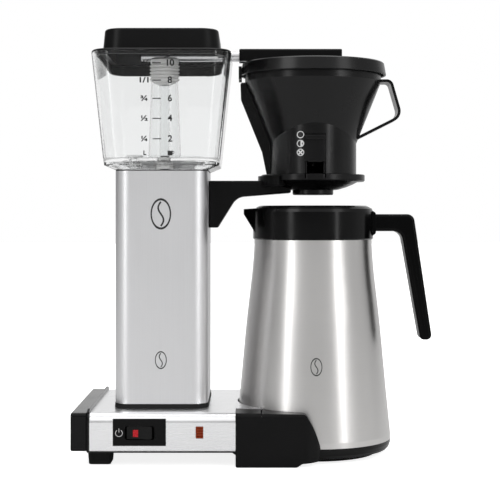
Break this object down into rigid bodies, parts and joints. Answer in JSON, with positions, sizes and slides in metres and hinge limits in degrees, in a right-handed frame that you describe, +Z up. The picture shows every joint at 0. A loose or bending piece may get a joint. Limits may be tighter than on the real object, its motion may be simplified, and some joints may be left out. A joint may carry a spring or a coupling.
{
  "type": "drip coffee maker",
  "caption": "Drip coffee maker: clear water tank on a metal tower, outlet arm over a sliding filter basket with drip stop, and a steel vacuum carafe in a round stand.",
  "frame": {"origin": "middle of the overall footprint, on the surface the machine stands on", "axes": "+Z up, +X from the tower towards the carafe's handle, -Y the front with the switch"},
  "size_m": [0.325, 0.167, 0.3876],
  "materials": {
    "polished_aluminium": "satin, bright",
    "brushed_aluminium": "brushed",
    "black_cover": "satin black",
    "zinc_screw": "zinc plated",
    "black_plastic": "fine grain",
    "black_basket": "satin",
    "black_rubber": "matte",
    "rocker_black": "gloss",
    "red_marker": "gloss",
    "amber_lens": "translucent",
    "wire_insulation": "matte",
    "copper": "copper, dull",
    "element_steel": "annealed",
    "brass": "turned",
    "valve_ball": "ground",
    "silicone": "translucent",
    "clear_plastic": "clear",
    "frosted_plastic": "frosted",
    "strainer_plastic": "fine",
    "steel_tube": "drawn",
    "brushed_steel": "brushed",
    "black_carafe": "satin"
  },
  "bodies": {
    "machine": {"base_bottom_cover": "black_cover", "base_housing": "polished_aluminium", "basket_bracket": "black_plastic", "boiler_tube": "copper", "bracket_screws": "zinc_screw", "carafe_stand": "black_plastic", "check_valve_body": "brass", "cord_gland": "black_rubber", "cover_screws": "zinc_screw", "foot_front_left": "black_rubber", "foot_rear_left": "black_rubber", "heating_element": "element_steel", "inlet_hose": "silicone", "inlet_strainer": "strainer_plastic", "left_end_cap": "black_plastic", "outlet_cover": "black_plastic", "outlet_tube": "steel_tube", "pilot_lamp_body": "black_plastic", "pilot_lamp_lens": "amber_lens", "reservoir": "clear_plastic", "riser_collar": "silicone", "riser_cover": "frosted_plastic", "riser_grommet": "silicone", "riser_hose": "silicone", "riser_tube": "frosted_plastic", "spray_head": "black_basket", "stand_pads": "black_rubber", "stand_trim_plate": "polished_aluminium", "switch_body": "black_plastic", "switch_plate": "black_plastic", "terminal_block": "black_plastic", "thermal_fuse": "element_steel", "thermostat": "black_plastic", "tower_bolts": "zinc_screw", "tower_frame": "zinc_screw", "tower_gasket": "black_rubber", "tower_shell": "brushed_aluminium", "tower_top_seal": "black_rubber", "wiring_loom": "wire_insulation"},
    "rocker": {"rocker_button": "rocker_black", "rocker_marker": "red_marker"},
    "valve_ball": {"check_ball": "valve_ball"},
    "tank_lid": {"reservoir_lid": "black_plastic"},
    "basket": {"brew_basket": "black_basket", "basket_base": "black_basket", "basket_lid": "black_basket", "basket_handle": "black_basket"},
    "drip_stop": {"drip_slider": "black_basket", "drip_plug": "black_basket"},
    "carafe": {"carafe_shell": "brushed_steel", "carafe_liner": "brushed_steel", "carafe_base": "black_carafe", "carafe_collar": "black_carafe", "carafe_handle": "black_carafe", "handle_screw": "zinc_screw"},
    "carafe_stopper": {"carafe_lid": "black_carafe", "carafe_lid_seal": "silicone"}
  },
  "joints": [
    {"name": "rocker_rock", "type": "hinge", "parent": "machine", "child": "rocker", "pos_m": [-0.102, -0.0769, 0.0306], "axis": [0, 0, 1], "range_deg": [0, 14]},
    {"name": "valve_ball_lift", "type": "slide", "parent": "machine", "child": "valve_ball", "axis": [0, 0, 1], "range_m": [0, 0.0065]},
    {"name": "tank_lid_lift", "type": "slide", "parent": "machine", "child": "tank_lid", "axis": [0, 0, 1], "range_m": [0, 0.06]},
    {"name": "basket_slide", "type": "slide", "parent": "machine", "child": "basket", "axis": [1, 0, 0], "range_m": [0, 0.14]},
    {"name": "drip_stop_slide", "type": "slide", "parent": "basket", "child": "drip_stop", "axis": [0, 0, -1], "range_m": [0, 0.014]},
    {"name": "carafe_slide", "type": "slide", "parent": "machine", "child": "carafe", "axis": [1, 0, 0], "range_m": [0, 0.16]},
    {"name": "carafe_lid_twist", "type": "hinge", "parent": "carafe", "child": "carafe_stopper", "pos_m": [0.053, 0, 0.215], "axis": [0, 0, 1], "range_deg": [0, 90]}
  ]
}
